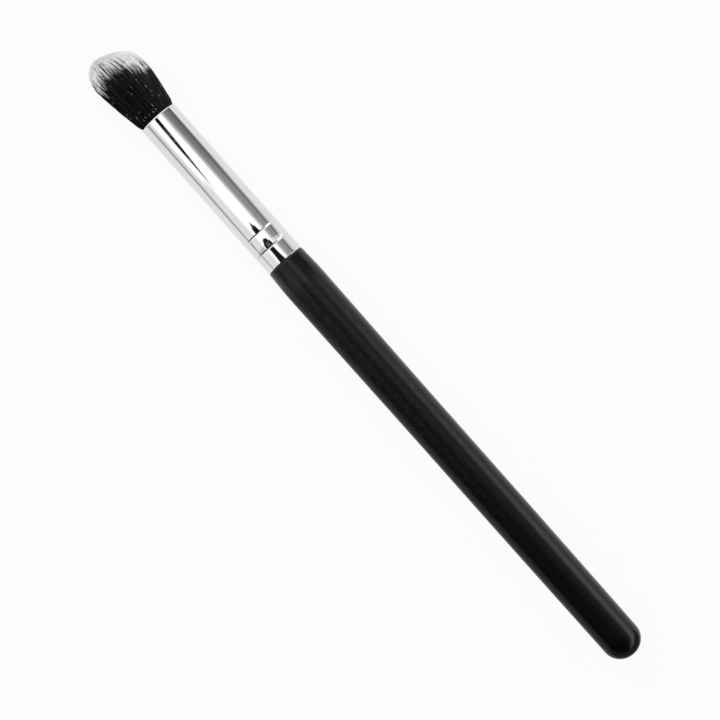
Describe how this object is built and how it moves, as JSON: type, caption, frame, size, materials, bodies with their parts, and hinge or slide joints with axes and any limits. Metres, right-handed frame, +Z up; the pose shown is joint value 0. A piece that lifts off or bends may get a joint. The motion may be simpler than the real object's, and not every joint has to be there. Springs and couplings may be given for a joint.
{
  "type": "makeup brush",
  "caption": "Round makeup brush: a slim black lacquered handle, a mirror-bright crimped ferrule and a fluffy black tuft with a white, slightly slanted dome tip.",
  "frame": {"origin": "centre of the brush's footprint, on the surface that it lies on", "axes": "+X along the brush from the butt to the tip, +Z up, +Y towards the fuller side of the slanted crown"},
  "size_m": [0.17, 0.0122, 0.0115],
  "materials": {
    "black_lacquer": "satin",
    "mirror_metal": "polished",
    "black_fibre": "satin",
    "white_fibre": "satin",
    "clear_glue": "gloss",
    "binding_thread": "matte"
  },
  "bodies": {
    "root": {"handle": "black_lacquer", "ferrule": "mirror_metal", "handle_glue": "clear_glue", "root_glue": "clear_glue", "binding_thread": "binding_thread", "black_bristles": "black_fibre", "white_bristles": "white_fibre"}
  },
  "joints": []
}
